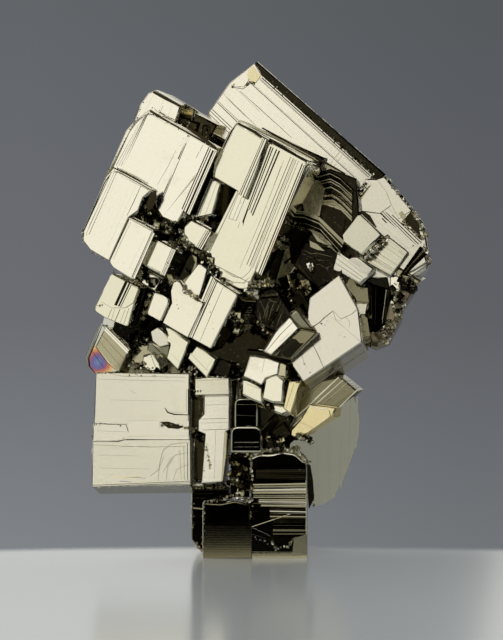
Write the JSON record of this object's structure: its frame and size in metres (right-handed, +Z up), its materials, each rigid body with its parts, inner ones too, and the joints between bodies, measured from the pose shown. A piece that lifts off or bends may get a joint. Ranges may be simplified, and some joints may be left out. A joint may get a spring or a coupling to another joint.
{
  "type": "pyrite crystal specimen",
  "caption": "Free-standing natural cluster of intergrown striated pyrite cubes and blocks, leaning plate at the top, standing on its own narrow flat foot.",
  "frame": {"origin": "middle of the foot's flat resting face, on the surface the specimen stands on", "axes": "+Z up, +X to the right of the display side, +Y away from the display side, which faces -Y"},
  "size_m": [0.0711, 0.0413, 0.1003],
  "materials": {
    "pyrite": "polished"
  },
  "bodies": {
    "root": {"pyrite_crystal_cluster": "pyrite"}
  },
  "joints": []
}
